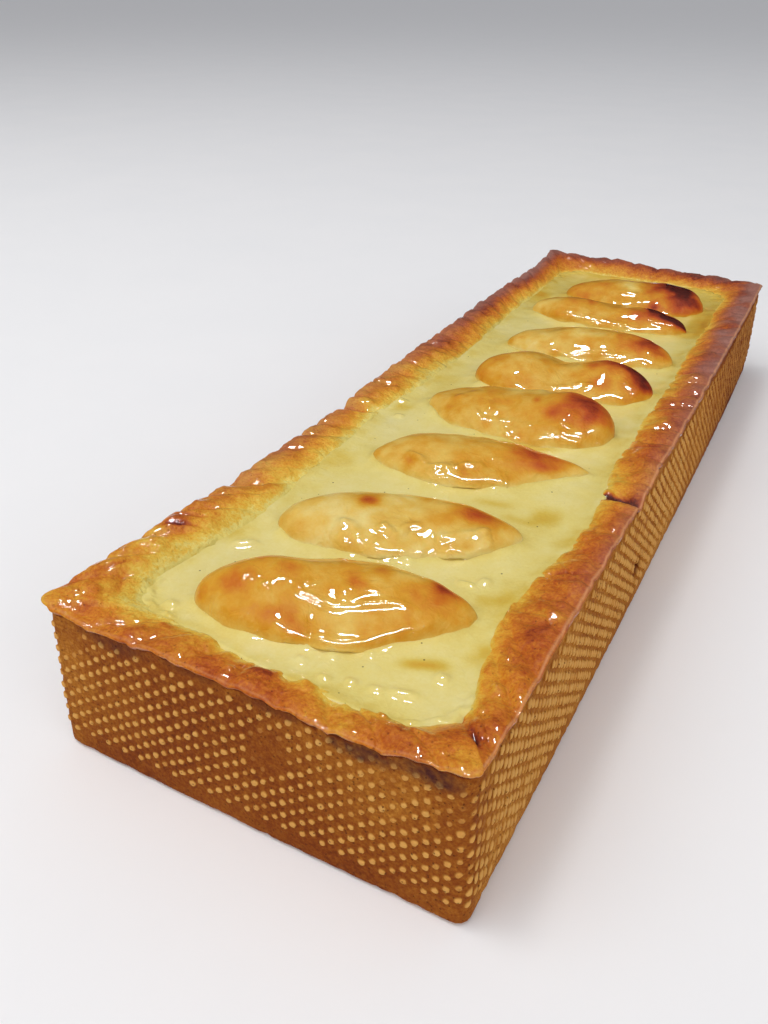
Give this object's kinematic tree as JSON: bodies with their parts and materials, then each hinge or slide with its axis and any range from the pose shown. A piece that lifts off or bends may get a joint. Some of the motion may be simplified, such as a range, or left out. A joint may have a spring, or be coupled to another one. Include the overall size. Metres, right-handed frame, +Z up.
{
  "type": "apple custard tart",
  "caption": "Whole rectangular tart: a tall pastry case with a dotted wall and an uneven rim, filled with glossy baked custard, with apple wedges laid across it.",
  "frame": {"origin": "centre of the outline, on the surface that the tart stands on", "axes": "+X across the tart, +Y along its length from the near end to the far end, +Z up"},
  "size_m": [0.0922, 0.289, 0.0414],
  "materials": {
    "baked_pastry": "baked shortcrust: matt and pitted on the wall, glazed and golden brown on the rim",
    "baked_custard": "smooth pale yellow baked custard under a thin clear glaze",
    "glazed_apple": "soft baked apple, amber and golden, browned along its upper edge, under a clear glaze"
  },
  "bodies": {
    "root": {"crust": "baked_pastry", "custard": "baked_custard", "apple_1": "glazed_apple", "apple_2": "glazed_apple", "apple_3": "glazed_apple", "apple_4": "glazed_apple", "apple_5": "glazed_apple", "apple_6": "glazed_apple", "apple_7": "glazed_apple", "apple_8": "glazed_apple"}
  },
  "joints": []
}
